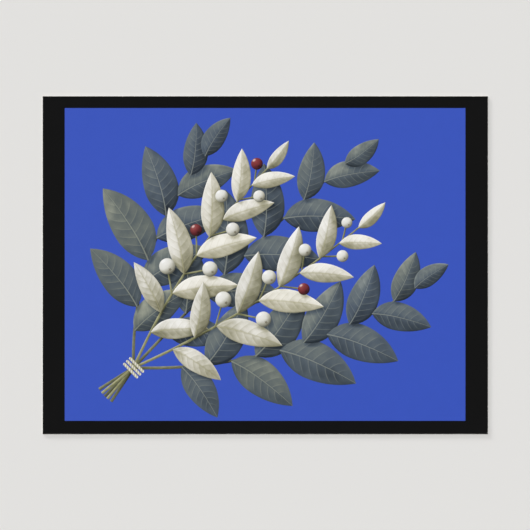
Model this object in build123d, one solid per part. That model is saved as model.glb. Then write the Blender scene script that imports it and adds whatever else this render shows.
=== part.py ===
from build123d import *

import math
import os

os.makedirs("parts", exist_ok=True)

# Card
card_width = 142.24
card_height = 107.95

# Layers, from the writing side up
back_liner_thickness = 0.070
core_thickness = 0.240
front_liner_thickness = 0.070
coating_thickness = 0.016
toner_thickness = 0.010
back_ink_depth = 0.012

# Border of the picture side
border_left = 7.04
border_right = 7.19
border_top = 3.78
border_bottom = 4.25

# Rules on the writing side
rule_width = 0.35
divider_length = 80.0
address_rule_length = 54.0
address_rule_pitch = 9.5
address_rule_count = 4
lowest_rule_height = 17.0
stamp_box_width = 21.0
stamp_box_height = 25.0
stamp_box_margin = 7.0

# Where the spray's stems are tied, from the picture's centre, and their tails below
tie_x = -42.0
tie_y = -33.0
bunch_heading = 44.0
tail_length = 13.0
tail_spread = 0.26

# Twine around the tie
twine_turns = 3
twine_pitch = 1.30
twine_width = 0.95
twine_length = 6.6

# Stems
middle_stem_length = 95.0
left_stem_length = 74.0
right_stem_length = 96.0
upper_pale_stem_length = 78.0
lower_pale_stem_length = 86.0
slate_stem_width = 1.00
pale_stem_width = 0.90
stem_taper = 0.55

# Leaves: the longest on a stem, and how the others follow along it
slate_leaf_length = 27.0
slate_leaf_width = 12.6
pale_leaf_length = 22.5
pale_leaf_width = 8.0
leaf_widest_at = 0.40
leaf_lean = 0.22
first_leaf_at = 0.16
leaf_seat = 1.2
full_size_at = 0.30
first_leaf_size = 0.78
last_leaf_size = 0.52
shrink_power = 2.4
first_splay = 54.0
last_splay = 30.0

# Leaves differ a little in splay and length, in a rhythm of radians from one to the next
splay_play = 6.0
splay_rhythm = 2.4
length_play = 0.06
length_rhythm = 3.7

# Berries on the pale stems
berries_per_sprig = 7
first_berry_at = 0.34
berry_spacing = 0.095
stalk_splay = 40.0
stalk_rhythm = 1.9
stalk_width = 0.55
longest_stalk = 9.0
stalk_step = 0.5
largest_berry_radius = 2.6
berry_step = 0.14
red_berry_radius = 1.9
red_berry_every = 4
red_berry_place = 3

# Smallest pieces and gaps that the print holds, as the side of a square
smallest_piece = 1.2
smallest_gap = 2.6

# Sprigs: a stem's heading at the tie, how far it turns, its length and its leaves
slate_leaf = dict(leaf_length=slate_leaf_length, leaf_width=slate_leaf_width)
pale_leaf = dict(leaf_length=pale_leaf_length, leaf_width=pale_leaf_width)
slate_sprigs = [
    dict(heading=47, turn=-6, length=middle_stem_length, leaves=10, **slate_leaf),
    dict(heading=92, turn=-42, length=left_stem_length, leaves=9, **slate_leaf),
    dict(heading=-2, turn=36, length=right_stem_length, leaves=11, **slate_leaf),
]
pale_sprigs = [
    dict(heading=66, turn=-20, length=upper_pale_stem_length, leaves=10, **pale_leaf),
    dict(heading=24, turn=16, length=lower_pale_stem_length, leaves=10, **pale_leaf),
]

# Heights of the layers
core_bottom = back_liner_thickness
front_liner_bottom = core_bottom + core_thickness
coating_bottom = front_liner_bottom + front_liner_thickness
toner_bottom = coating_bottom + coating_thickness

# The picture inside the border
picture_width = card_width - border_left - border_right
picture_height = card_height - border_top - border_bottom
picture_x = (border_left - border_right) / 2
picture_y = (border_bottom - border_top) / 2
tie = (picture_x + tie_x, picture_y + tie_y)


def step(point, heading, distance):
    """Gives the point reached from a point by going straight in a heading."""
    angle = math.radians(heading)
    return (point[0] + distance * math.cos(angle), point[1] + distance * math.sin(angle))


def along(sprig, distance):
    """Gives the point and heading on a sprig's arc at a distance from the tie."""
    turned = sprig["turn"] * distance / sprig["length"]
    half_turn = math.radians(turned) / 2
    chord = distance * math.sin(half_turn) / half_turn if half_turn else distance
    return step(tie, sprig["heading"] + turned / 2, chord), sprig["heading"] + turned


def stem_faces(sprig, width):
    """Makes a sprig's stem, a tapered strip along its arc, and its cut tail below the tie."""
    left = []
    right = []
    for share in (0, 0.5, 1):
        point, heading = along(sprig, sprig["length"] * share)
        half_width = width / 2 * (1 - share * (1 - stem_taper))
        left.append(step(point, heading + 90, half_width))
        right.append(step(point, heading - 90, half_width))
    stem = make_face(
        [
            ThreePointArc(*left),
            Line(left[-1], right[-1]),
            ThreePointArc(*right),
            Line(right[0], left[0]),
        ]
    )
    tail_heading = bunch_heading + tail_spread * (sprig["heading"] - bunch_heading)
    tail_middle = step(tie, tail_heading, -tail_length / 2)
    tail = Pos(*tail_middle) * Rot(0, 0, tail_heading) * Rectangle(tail_length, width)
    return [stem, tail]


def leaf_face(base, heading, length, width, lean):
    """Makes a pointed leaf from two arcs on each side, which meet where it is widest."""
    sides = []
    for side in (1, -1):
        shoulder = (leaf_widest_at * length, width / 2 * (side + lean))
        sides.append(TangentArc(shoulder, (0, 0), tangent=(-1, 0)))
        sides.append(TangentArc(shoulder, (length, 0), tangent=(1, 0)))
    return Pos(*base) * Rot(0, 0, heading) * make_face(sides)


def leaf_faces(sprig, number):
    """Makes a sprig's leaves, set right and left in turn, with one at its end."""
    faces = []
    last = sprig["leaves"] - 1
    for i in range(sprig["leaves"]):
        number += 1
        share = i / last
        side = 1 if i % 2 else -1
        first = first_leaf_at * sprig["length"]
        base, heading = along(sprig, first + (sprig["length"] - leaf_seat - first) * share)
        if i < last:
            heading += side * (first_splay + (last_splay - first_splay) * share)
        heading += splay_play * math.sin(splay_rhythm * number)
        size = first_leaf_size + (1 - first_leaf_size) * min(1, share / full_size_at)
        size = size * (1 - (1 - last_leaf_size) * share**shrink_power)
        size = size * (1 + length_play * math.sin(length_rhythm * number))
        length = sprig["leaf_length"] * size
        width = sprig["leaf_width"] * size
        faces.append(leaf_face(base, heading, length, width, -leaf_lean * side))
    return faces


def plate(faces):
    """Joins flat faces into one plate and trims it to the picture."""
    return (Sketch() + faces) & picture


def pieces_under(flat, side):
    """Gives the pieces of a plate that are smaller than a square of the given side."""
    return [face for face in flat.faces() if face.area < side**2]


def knocked_out(flat, above):
    """Cuts a plate free of the plates above it and leaves out slivers."""
    cut = flat - above
    return cut - pieces_under(cut, smallest_piece)


def film(flat):
    """Lays a toner film of the given outline on the coating."""
    return extrude(Pos(0, 0, toner_bottom) * flat, toner_thickness)


def layer(bottom, thickness):
    """Makes one full-size layer of the card."""
    sheet = Box(card_width, card_height, thickness, align=(Align.CENTER, Align.CENTER, Align.MIN))
    return Pos(0, 0, bottom) * sheet


def rule(x, y, width, height):
    """Makes an ink rule that lies flush in the writing side."""
    bar = Box(width, height, back_ink_depth, align=(Align.CENTER, Align.CENTER, Align.MIN))
    return Pos(x, y, 0) * bar


def save(shape, node):
    """Writes one node's solids."""
    export_step(shape, f"parts/{node}.step")


# Ink rules on the writing side, whose right half as read lies towards -X
divider = rule(0, 0, rule_width, divider_length)

address_rules = []
for i in range(address_rule_count):
    rule_y = -card_height / 2 + lowest_rule_height + i * address_rule_pitch
    address_rules.append(rule(-card_width / 4, rule_y, address_rule_length, rule_width))

stamp_x = -card_width / 2 + stamp_box_margin + stamp_box_width / 2
stamp_y = card_height / 2 - stamp_box_margin - stamp_box_height / 2
stamp_box = rule(stamp_x, stamp_y, stamp_box_width, stamp_box_height)
stamp_inside = rule(
    stamp_x, stamp_y, stamp_box_width - 2 * rule_width, stamp_box_height - 2 * rule_width
)
stamp_box = stamp_box - stamp_inside

# Paper layers
back_liner = layer(0, back_liner_thickness) - [divider, *address_rules, stamp_box]
core_ply = layer(core_bottom, core_thickness)
front_liner = layer(front_liner_bottom, front_liner_thickness)
front_coating = layer(coating_bottom, coating_thickness)

# Outlines of the border and the picture
picture = Pos(picture_x, picture_y) * Rectangle(picture_width, picture_height)
border = Rectangle(card_width, card_height) - picture

# Leaves, numbered through so that no two are quite alike
leaf_number = 0
slate_leaves = []
for sprig in slate_sprigs:
    slate_leaves += leaf_faces(sprig, leaf_number)
    leaf_number += sprig["leaves"]
pale_leaves = []
for sprig in pale_sprigs:
    pale_leaves += leaf_faces(sprig, leaf_number)
    leaf_number += sprig["leaves"]

# Stems, stalks and berries
slate_stems = []
for sprig in slate_sprigs:
    slate_stems += stem_faces(sprig, slate_stem_width)
pale_stems = []
white_berries = []
red_berries = []
berry_number = 0
for sprig in pale_sprigs:
    pale_stems += stem_faces(sprig, pale_stem_width)
    for i in range(berries_per_sprig):
        side = -1 if i % 2 else 1
        foot, heading = along(sprig, sprig["length"] * (first_berry_at + berry_spacing * i))
        heading += side * (stalk_splay + splay_play * math.sin(stalk_rhythm * berry_number))
        stalk = longest_stalk - stalk_step * i
        middle = step(foot, heading, stalk / 2)
        pale_stems.append(Pos(*middle) * Rot(0, 0, heading) * Rectangle(stalk, stalk_width))
        centre = step(foot, heading, stalk)
        berry_number += 1
        if berry_number % red_berry_every == red_berry_place:
            red_berries.append(Pos(*centre) * Circle(red_berry_radius))
        else:
            white_berries.append(Pos(*centre) * Circle(largest_berry_radius - berry_step * i))

# Turns of twine around the stems
twine = []
for i in range(twine_turns):
    middle = step(tie, bunch_heading, (i - (twine_turns - 1) / 2) * twine_pitch)
    turn = SlotOverall(twine_length, twine_width, rotation=bunch_heading + 90)
    twine.append(Pos(*middle) * turn)

# Plates of the print, from the top one down, each knocked out of those below
twine_plate = plate(twine)
white_plate = plate(white_berries)
red_plate = plate(red_berries) - white_plate
above = [twine_plate, white_plate, red_plate]
pale_plate = knocked_out(plate(pale_leaves), above)
above.append(pale_plate)
pale_stem_plate = knocked_out(plate(pale_stems), above)
above.append(pale_stem_plate)
slate_plate = knocked_out(plate(slate_leaves), above)
above.append(slate_plate)
slate_stem_plate = knocked_out(plate(slate_stems), above)
above.append(slate_stem_plate)
ground_plate = picture - above

# Gaps too small to print in blue are closed with slate, or with cream where no slate leaf touches
gaps = pieces_under(ground_plate, smallest_gap)
ground_plate = ground_plate - gaps
for gap in gaps:
    closed = slate_plate + gap
    if len(closed.faces()) > len(slate_plate.faces()):
        pale_plate = pale_plate + gap
    else:
        slate_plate = closed

save(back_liner, "back_liner")
save(core_ply, "core_ply")
save(front_liner, "front_liner")
save(front_coating, "front_coating")
save(divider, "divider_ink")
save(Compound(children=address_rules), "address_rule_ink")
save(stamp_box, "stamp_box_ink")
save(film(border), "border_toner")
save(film(ground_plate), "ground_toner")
save(film(slate_stem_plate), "slate_stem_toner")
save(film(slate_plate), "slate_leaf_toner")
save(film(pale_stem_plate), "pale_stem_toner")
save(film(pale_plate), "pale_leaf_toner")
save(film(white_plate), "white_berry_toner")
save(film(red_plate), "red_berry_toner")
save(film(twine_plate), "twine_toner")
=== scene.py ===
# %% [markdown]
# # A picture postcard
#
# The object is a thin landscape card that lies flat, picture side up. It is
# built like real card: plies of paper, a clay coating, and a print of toner only
# a hundredth of a millimetre thick. Its layers come from an imported CAD part,
# which stays fixed. This lesson dresses them: the paper gets its fibres, the
# border its satin black, and the print its leaves, stems and berries, which are
# cut out here in finer detail than the CAD holds. Values that are given have
# names in capitals, and values that are worked out don't.

import math
from dataclasses import dataclass

import bmesh
import bpy
import numpy as np
from mathutils import Color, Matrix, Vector
from mathutils.geometry import delaunay_2d_cdt


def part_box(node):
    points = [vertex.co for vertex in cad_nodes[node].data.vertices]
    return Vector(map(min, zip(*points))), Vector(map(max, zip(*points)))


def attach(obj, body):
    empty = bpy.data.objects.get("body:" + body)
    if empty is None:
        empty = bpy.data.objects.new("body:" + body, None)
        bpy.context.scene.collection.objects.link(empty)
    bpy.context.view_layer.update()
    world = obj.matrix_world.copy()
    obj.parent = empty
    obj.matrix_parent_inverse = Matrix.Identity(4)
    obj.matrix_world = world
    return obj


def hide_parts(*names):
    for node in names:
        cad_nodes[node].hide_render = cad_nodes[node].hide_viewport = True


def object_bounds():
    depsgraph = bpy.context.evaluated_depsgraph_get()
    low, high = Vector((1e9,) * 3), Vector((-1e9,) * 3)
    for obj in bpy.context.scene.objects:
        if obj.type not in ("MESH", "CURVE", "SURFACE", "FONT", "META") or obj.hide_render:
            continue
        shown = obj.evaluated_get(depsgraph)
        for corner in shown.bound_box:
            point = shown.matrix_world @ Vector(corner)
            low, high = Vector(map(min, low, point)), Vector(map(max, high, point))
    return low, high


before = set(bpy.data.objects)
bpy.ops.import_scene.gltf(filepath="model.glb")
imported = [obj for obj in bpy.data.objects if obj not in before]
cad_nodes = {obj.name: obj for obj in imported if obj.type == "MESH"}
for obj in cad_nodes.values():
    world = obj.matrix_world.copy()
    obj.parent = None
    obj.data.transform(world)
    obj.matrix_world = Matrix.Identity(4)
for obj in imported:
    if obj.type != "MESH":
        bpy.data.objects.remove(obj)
cad_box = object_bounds()
print("CAD nodes:", ", ".join(sorted(cad_nodes)))

# %% [markdown]
# Everything is placed from the CAD part, so its sizes are read first. They
# could be typed in again, but then a change to the part would leave the looks
# behind. The blue ground's box gives the picture inside the border, and its top
# and bottom give the film of toner. Blender counts in metres, and a print is
# easier to think of in millimetres, so one value turns one into the other.

# %% Measure the card
MM = 0.001

card_low, card_high = cad_box
card_size = card_high - card_low
picture_low, picture_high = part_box("ground_toner")
picture_middle = (picture_low + picture_high) / 2
toner_thickness = picture_high.z - picture_low.z
print("card", [round(side / MM, 3) for side in card_size], "mm")
print("toner", round(toner_thickness / MM, 4), "mm")

# %% [markdown]
# The photograph looks straight down. A camera that isn't turned looks along -Z
# with +Y at the top, so it only needs a place. The card's width in pixels gives
# its height, and the card's middle, a fraction of a pixel right of and below
# the photograph's, gives the rest. A short lens close by would frame the card
# as well, but a long one keeps it calm in the other views.

# %% Camera straight above the card
PHOTO_PIXELS = 530
CARD_PIXELS = 445.2
CARD_PIXELS_RIGHT = 0.3
CARD_PIXELS_DOWN = 0.18
LENS = 85
SENSOR = 36

pixel = card_size.x / CARD_PIXELS
camera_distance = PHOTO_PIXELS * pixel * LENS / SENSOR
camera_data = bpy.data.cameras.new("camera")
camera_data.lens = LENS
camera_data.sensor_width = SENSOR
camera_data.clip_start = 0.01
camera_data.clip_end = 20
camera = bpy.data.objects.new("camera", camera_data)
camera.location = (
    -CARD_PIXELS_RIGHT * pixel,
    CARD_PIXELS_DOWN * pixel,
    card_high.z + camera_distance,
)
bpy.context.scene.collection.objects.link(camera)
bpy.context.scene.camera = camera
bpy.context.scene.view_settings.view_transform = "Standard"
print("camera", round(camera_distance, 3), "m above the card")

# %% [markdown]
# The floor is plain and pale. A square would do, but a wide disc shows no
# corner against the sky, and one bmesh operator makes it. It lies a hundredth
# of a millimetre below the card, because two faces in one plane would flicker.

# %% Floor
FLOOR_RADIUS = 5.0
FLOOR_GAP = 0.01 * MM
FLOOR_COLOUR = (0.80, 0.792, 0.775, 1.0)


def new_material(name):
    """Makes a material and gives it, its tree and its Principled shader."""
    material = bpy.data.materials.new(name)
    material.use_nodes = True
    return material, material.node_tree, material.node_tree.nodes["Principled BSDF"]


floor_mesh = bpy.data.meshes.new("floor")
bm = bmesh.new()
bmesh.ops.create_circle(bm, cap_ends=True, segments=128, radius=FLOOR_RADIUS)
bmesh.ops.translate(bm, verts=bm.verts, vec=(0, 0, card_low.z - FLOOR_GAP))
bm.to_mesh(floor_mesh)
bm.free()
floor = bpy.data.objects.new("floor", floor_mesh)
bpy.context.scene.collection.objects.link(floor)

floor_material, tree, shader = new_material("pale_floor")
shader.inputs["Base Color"].default_value = FLOOR_COLOUR
shader.inputs["Roughness"].default_value = 0.95
shader.inputs["Specular IOR Level"].default_value = 0.0
floor_mesh.materials.append(floor_material)
print("floor", FLOOR_RADIUS, "m in radius")

# %% [markdown]
# In the photograph a soft shadow, a millimetre or two wide, lies along the
# card's right and lower edges only. The card is just 0.4 mm thick, so the main
# light must stand low in the upper left. Area lamps would fall off across the
# card, so two broad suns light it: one low for the shadow and one high for the
# light. Both are kept out of reflections, as a photographer does with crossed
# polarisers when copying prints.

# %% Two suns
TOWARDS_SUNS = Vector((-0.62, 0.785, 0))


def add_sun(name, elevation, spread, share):
    """Adds a soft sun that gives the floor a share of full light."""
    rise = math.radians(elevation)
    data = bpy.data.lights.new(name, "SUN")
    data.angle = math.radians(spread)
    data.energy = share * math.pi / math.sin(rise)
    sun = bpy.data.objects.new(name, data)
    towards_sun = TOWARDS_SUNS.normalized() * math.cos(rise) + Vector((0, 0, math.sin(rise)))
    sun.rotation_euler = towards_sun.to_track_quat("Z", "Y").to_euler()
    sun.visible_glossy = False
    bpy.context.scene.collection.objects.link(sun)
    print(name, "stands at", elevation, "degrees")


add_sun("low_sun", elevation=10.5, spread=10, share=0.148)
add_sun("high_sun", elevation=74, spread=60, share=0.612)

# %% [markdown]
# The gloss comes from the sky alone. It is pale at the horizon and dim
# overhead, where the camera would mirror it. A picture of a studio could be
# wrapped round the scene, but a ramp of five colours over the height is enough
# and needs no file. Skies and materials are node trees, so the first short
# helpers come here: they add a node and link it in one line.

# %% Sky
SKY_LIGHTS = [
    (0.00, (0.75, 0.745, 0.73, 1.0)),
    (0.17, (0.66, 0.655, 0.645, 1.0)),
    (0.32, (0.34, 0.34, 0.335, 1.0)),
    (0.60, (0.16, 0.16, 0.16, 1.0)),
    (1.00, (0.08, 0.08, 0.08, 1.0)),
]


def add_node(tree, kind, **settings):
    """Adds a node and sets its options."""
    node = tree.nodes.new(kind)
    for name, value in settings.items():
        setattr(node, name, value)
    return node


def feed(tree, socket, value):
    """Links an output to a socket, or sets a plain value on it."""
    if isinstance(value, bpy.types.NodeSocket):
        tree.links.new(value, socket)
    else:
        socket.default_value = value


def split_vector(tree, vector):
    """Gives a vector's three numbers."""
    node = add_node(tree, "ShaderNodeSeparateXYZ")
    feed(tree, node.inputs[0], vector)
    return node.outputs[0], node.outputs[1], node.outputs[2]


def ramp(tree, value, stops):
    """Turns a number into a colour, through a list of (place, colour)."""
    node = add_node(tree, "ShaderNodeValToRGB")
    elements = node.color_ramp.elements
    while len(elements) < len(stops):
        elements.new(1.0)
    for element, (place, colour) in zip(elements, stops):
        element.position = place
        element.color = colour
    feed(tree, node.inputs[0], value)
    return node.outputs[0]


world = bpy.data.worlds.new("studio")
bpy.context.scene.world = world
world.use_nodes = True
tree = world.node_tree
direction = add_node(tree, "ShaderNodeTexCoord").outputs["Generated"]
sky_colour = ramp(tree, split_vector(tree, direction)[2], SKY_LIGHTS)
feed(tree, tree.nodes["Background"].inputs["Color"], sky_colour)
print("a sky of", len(SKY_LIGHTS), "colours")

# %% [markdown]
# Card and toner share one effect: a fine, uneven surface, because a film of
# toner follows the paper under it. Its nodes could be copied into every
# material, but then a change has to be made many times over. So it is built
# once, as a node group, and placed in each material with its own values: the
# finish's colour and roughness, how uneven it is, how much of its relief is
# fibres, and how deep that relief is in millimetres.

# %% Card surface, a shared node group: sockets
def new_group(name, inputs, outputs):
    """Makes a node group from named sockets and their kinds, and gives it with its two ends."""
    group = bpy.data.node_groups.new(name, "ShaderNodeTree")
    for way, sockets in (("INPUT", inputs), ("OUTPUT", outputs)):
        for socket_name, kind in sockets.items():
            group.interface.new_socket(socket_name, in_out=way, socket_type="NodeSocket" + kind)
    print(name, "takes", ", ".join(inputs) or "nothing", "and gives", ", ".join(outputs))
    return group, add_node(group, "NodeGroupInput"), add_node(group, "NodeGroupOutput")


card_surface, start, end = new_group(
    "card_surface",
    inputs={
        "Colour": "Color",
        "Roughness": "Float",
        "Uneven": "Float",
        "Fibre": "Float",
        "Relief": "Float",
    },
    outputs={"Colour": "Color", "Roughness": "Float", "Normal": "Vector"},
)

# %% [markdown]
# Paper is never even. A scan of it would repeat, and blur from close by, so
# noise makes its clouds, a few millimetres wide, its grain, a few tenths wide,
# and its fibres. The noise reads Object coordinates, scaled to millimetres, so
# its sizes are real ones. A fibre is noise that is stretched along one
# direction, and two such directions crossed look like felt.

# %% Card surface: clouds, grain and fibres
def millimetres(tree):
    """Gives a piece's own coordinates in millimetres."""
    node = add_node(tree, "ShaderNodeVectorMath", operation="SCALE")
    feed(tree, node.inputs[0], add_node(tree, "ShaderNodeTexCoord").outputs["Object"])
    node.inputs["Scale"].default_value = 1 / MM
    return node.outputs[0]


def turned(tree, vector, angle, stretch):
    """Turns coordinates in the card's plane, then shortens them along one way."""
    node = add_node(tree, "ShaderNodeMapping", vector_type="TEXTURE")
    feed(tree, node.inputs["Vector"], vector)
    node.inputs["Rotation"].default_value = (0, 0, math.radians(angle))
    node.inputs["Scale"].default_value = (stretch, 1, 1)
    return node.outputs[0]


def noise(tree, vector, scale, detail=2.0, roughness=0.5):
    """Gives cloudy noise from 0 to 1."""
    node = add_node(tree, "ShaderNodeTexNoise")
    feed(tree, node.inputs["Vector"], vector)
    node.inputs["Scale"].default_value = scale
    node.inputs["Detail"].default_value = detail
    node.inputs["Roughness"].default_value = roughness
    return node.outputs["Fac"]


def reckon(tree, operation, *values):
    """Does one sum on numbers."""
    node = add_node(tree, "ShaderNodeMath", operation=operation)
    for socket, value in zip(node.inputs, values):
        feed(tree, socket, value)
    return node.outputs[0]


tree = card_surface
place = millimetres(tree)
clouds = noise(tree, place, scale=0.22, detail=4.0, roughness=0.6)
grain = noise(tree, place, scale=3.2, detail=3.0, roughness=0.6)
one_way = noise(tree, turned(tree, place, angle=24, stretch=9), scale=3.6)
other_way = noise(tree, turned(tree, place, angle=-51, stretch=7), scale=3.0)
fibres = reckon(tree, "MAXIMUM", one_way, other_way)
print("card_surface has", len(card_surface.nodes), "nodes so far")

# %% [markdown]
# The noise does three things at once. A bump alone would leave the colour dead
# flat, so it also makes the colour a little uneven and the gloss a little
# patchy. Most nodes of a material are small sums like these. Added one by one
# they would fill pages, and with a helper for each kind a recipe reads as a
# list of steps.

# %% Card surface: colour, gloss and relief
NOISE_LOW = 0.3
NOISE_HIGH = 0.7
GLOSS_PLAY = 0.05


def total(tree, *values):
    """Adds up any count of numbers."""
    result = values[0]
    for value in values[1:]:
        result = reckon(tree, "ADD", result, value)
    return result


def product(tree, *values):
    """Multiplies any count of numbers."""
    result = values[0]
    for value in values[1:]:
        result = reckon(tree, "MULTIPLY", result, value)
    return result


def remap(tree, value, low, high, to_low=0.0, to_high=1.0, smooth=True):
    """Turns one range of numbers into another, and stops at its ends."""
    kind = "SMOOTHSTEP" if smooth else "LINEAR"
    node = add_node(tree, "ShaderNodeMapRange", interpolation_type=kind)
    for socket, number in zip(node.inputs, (value, low, high, to_low, to_high)):
        feed(tree, socket, number)
    return node.outputs[0]


def join_vector(tree, x, y, z):
    """Makes a vector of three numbers."""
    node = add_node(tree, "ShaderNodeCombineXYZ")
    for socket, value in zip(node.inputs, (x, y, z)):
        feed(tree, socket, value)
    return node.outputs[0]


def swing(tree, value, reach):
    """Stretches noise, over its usual range, to a number from -reach to reach."""
    return remap(tree, value, NOISE_LOW, NOISE_HIGH, -reach, reach, smooth=False)


def mix_colours(tree, share, first, second, blend="MIX"):
    """Mixes two colours by a share from 0 to 1."""
    node = add_node(tree, "ShaderNodeMix", data_type="RGBA", blend_type=blend)
    feed(tree, node.inputs["Factor"], share)
    colour_sockets = [socket for socket in node.inputs if socket.type == "RGBA"]
    for socket, value in zip(colour_sockets, (first, second)):
        feed(tree, socket, value)
    return [socket for socket in node.outputs if socket.type == "RGBA"][0]


fibre_share = start.outputs["Fibre"]
grain_share = reckon(tree, "SUBTRACT", 1.0, fibre_share)
height = total(tree, product(tree, grain, grain_share), product(tree, fibres, fibre_share))

unevenness = total(tree, swing(tree, clouds, 1.0), swing(tree, height, 1.0))
strength = reckon(tree, "MULTIPLY_ADD", unevenness, start.outputs["Uneven"], 1.0)
grey = join_vector(tree, strength, strength, strength)
uneven_colour = mix_colours(tree, 1.0, start.outputs["Colour"], grey, blend="MULTIPLY")
patchy_gloss = total(tree, start.outputs["Roughness"], swing(tree, grain, GLOSS_PLAY))
bump = add_node(tree, "ShaderNodeBump")
feed(tree, bump.inputs["Distance"], product(tree, start.outputs["Relief"], MM))
feed(tree, bump.inputs["Height"], height)
feed(tree, end.inputs["Colour"], uneven_colour)
feed(tree, end.inputs["Roughness"], patchy_gloss)
feed(tree, end.inputs["Normal"], bump.outputs["Normal"])
print("card_surface has", len(card_surface.nodes), "nodes")

# %% [markdown]
# The clay coating is the smooth white layer that takes the toner. It shows as a
# bright hairline at the cut edge. Plain white would pass at that width, but with
# the shared surface it holds from close by. It is the simplest finish, so it
# comes first: the surface is laid over a colour and feeds the shader, and then
# the material takes the place of the plain one that the CAD mesh came with.

# %% Clay coating
def srgb(red, green, blue):
    """Turns a colour as read off a screen, from 0 to 255, into linear light."""
    linear = Color((red / 255, green / 255, blue / 255)).from_srgb_to_scene_linear()
    return (*linear, 1.0)


def place_group(tree, group, **values):
    """Places a node group in a tree, with its own values."""
    node = add_node(tree, "ShaderNodeGroup", node_tree=group)
    for name, value in values.items():
        feed(tree, node.inputs[name.replace("_", " ").title()], value)
    return node.outputs


def finish(tree, shader, colour, roughness, uneven, fibre, relief):
    """Lays the card's surface over a colour, and feeds a shader with it."""
    surface = place_group(
        tree,
        card_surface,
        colour=colour,
        roughness=roughness,
        uneven=uneven,
        fibre=fibre,
        relief=relief,
    )
    feed(tree, shader.inputs["Base Color"], surface["Colour"])
    feed(tree, shader.inputs["Roughness"], surface["Roughness"])
    feed(tree, shader.inputs["Normal"], surface["Normal"])


def dress(node_name, material):
    """Gives a CAD node its finished material."""
    mesh = cad_nodes[node_name].data
    mesh.materials.clear()
    mesh.materials.append(material)
    print("dressed", node_name)


COATING_WHITE = srgb(246, 246, 244)

clay_coating, tree, shader = new_material("clay_coating")
finish(tree, shader, COATING_WHITE, roughness=0.5, uneven=0.006, fibre=0.1, relief=0.003)
dress("front_coating", clay_coating)

# %% [markdown]
# A card wears at its edges, so more than one material has to know how near the
# cut edge is. Painting a mask by hand would fix it to one mesh. A second node
# group works it out instead: the distance to the nearest edge, in millimetres,
# from the card's own size; a ragged noise to break it up; and a mask of the cut
# sides themselves, from the direction that a face points in, for the painted
# shade on the cut paper.

# %% Card edge, a shared node group
SIDE_RISE = 0.5

card_edge, start, end = new_group(
    "card_edge",
    inputs={},
    outputs={"Gap": "Float", "Ragged": "Float", "Side": "Float"},
)
tree = card_edge
place = millimetres(tree)
x, y, _ = split_vector(tree, place)
side_gap = reckon(tree, "SUBTRACT", card_size.x / 2 / MM, reckon(tree, "ABSOLUTE", x))
end_gap = reckon(tree, "SUBTRACT", card_size.y / 2 / MM, reckon(tree, "ABSOLUTE", y))
pointing = split_vector(tree, add_node(tree, "ShaderNodeNewGeometry").outputs["True Normal"])
rise = reckon(tree, "ABSOLUTE", pointing[2])
feed(tree, end.inputs["Gap"], reckon(tree, "MINIMUM", side_gap, end_gap))
feed(tree, end.inputs["Ragged"], noise(tree, place, scale=2.6, detail=4.0, roughness=0.7))
feed(tree, end.inputs["Side"], reckon(tree, "LESS_THAN", rise, SIDE_RISE))
print("card_edge has", len(card_edge.nodes), "nodes")

# %% [markdown]
# The writing side is plain uncoated paper: matt, slightly warm, with fibres
# that catch the light. A few darker flecks sit in it, as in any pulp, and hands
# have greyed it a little along its edges. The front liner is the same paper,
# and shows only at the cut. On the cut sides of both liners the colour is
# painted darker. This is painted shade for the light that sinks in between the
# fibres, and it also keeps the sunlit cut from glaring. The front liner could
# have a material of its own, but the edge group tells the cut from the face, so
# one does for both.

# %% Uncoated paper
PAPER_WHITE = srgb(238, 236, 229)
FLECK = srgb(206, 198, 180)
HANDLED_PAPER = srgb(222, 217, 205)
# Painted shade: a darker paper colour for the cut sides only
SHADED_CUT_PAPER = srgb(204, 198, 186)
HANDLED_REACH = 1.6

uncoated_paper, tree, shader = new_material("uncoated_paper")
pulp = noise(tree, millimetres(tree), scale=0.9, detail=5.0, roughness=0.75)
colour = mix_colours(tree, remap(tree, pulp, low=0.69, high=0.76), PAPER_WHITE, FLECK)
edge = place_group(tree, card_edge)
handled = remap(tree, edge["Gap"], low=0.0, high=HANDLED_REACH, to_low=1.0, to_high=0.0)
colour = mix_colours(tree, product(tree, handled, edge["Ragged"]), colour, HANDLED_PAPER)
# Painted shade: faces that point sideways take the darker cut colour
colour = mix_colours(tree, edge["Side"], colour, SHADED_CUT_PAPER)
finish(tree, shader, colour, roughness=0.86, uneven=0.018, fibre=0.75, relief=0.020)
shader.inputs["Specular IOR Level"].default_value = 0.25
dress("back_liner", uncoated_paper)
dress("front_liner", uncoated_paper)

# %% [markdown]
# The core only shows at the cut edge, as the thick middle line of the card. Its
# pulp is a little browner, and both of its tones are painted darker still, as
# painted shade that keeps the sunlit cut from glaring. The guillotine leaves it
# streaked along the layers. A wave texture would give stripes that are too even.
# Noise that is squeezed in height and long along the edge gives uneven streaks,
# on all four sides at once.

# %% Core board
# Painted shade: both streak tones are darker than the pulp alone
SHADED_CORE_PALE = srgb(206, 199, 183)
SHADED_CORE_DARK = srgb(168, 159, 139)
STREAK_LENGTH = 2.0
STREAK_HEIGHT = 1 / 16

core_board, tree, shader = new_material("core_board")
x, y, z = split_vector(tree, millimetres(tree))
streak_place = join_vector(
    tree,
    product(tree, x, 1 / STREAK_LENGTH),
    product(tree, y, 1 / STREAK_LENGTH),
    product(tree, z, 1 / STREAK_HEIGHT),
)
streaks = noise(tree, streak_place, scale=1.0, detail=3.0)
colour = mix_colours(tree, remap(tree, streaks, low=0.35, high=0.65), SHADED_CORE_PALE, SHADED_CORE_DARK)
finish(tree, shader, colour, roughness=0.9, uneven=0.02, fibre=0.6, relief=0.012)
shader.inputs["Specular IOR Level"].default_value = 0.2
dress("core_ply", core_board)

# %% [markdown]
# The rules on the back are ink that has soaked into the paper, so they are matt
# and a little broken where the fibres took less of it. Gaps could be cut into
# their meshes, but a fine noise between two greys looks the same and keeps the
# rules whole.

# %% Ink of the rules
INK_GREY = srgb(96, 97, 102)
STARVED_INK = srgb(150, 150, 150)

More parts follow.
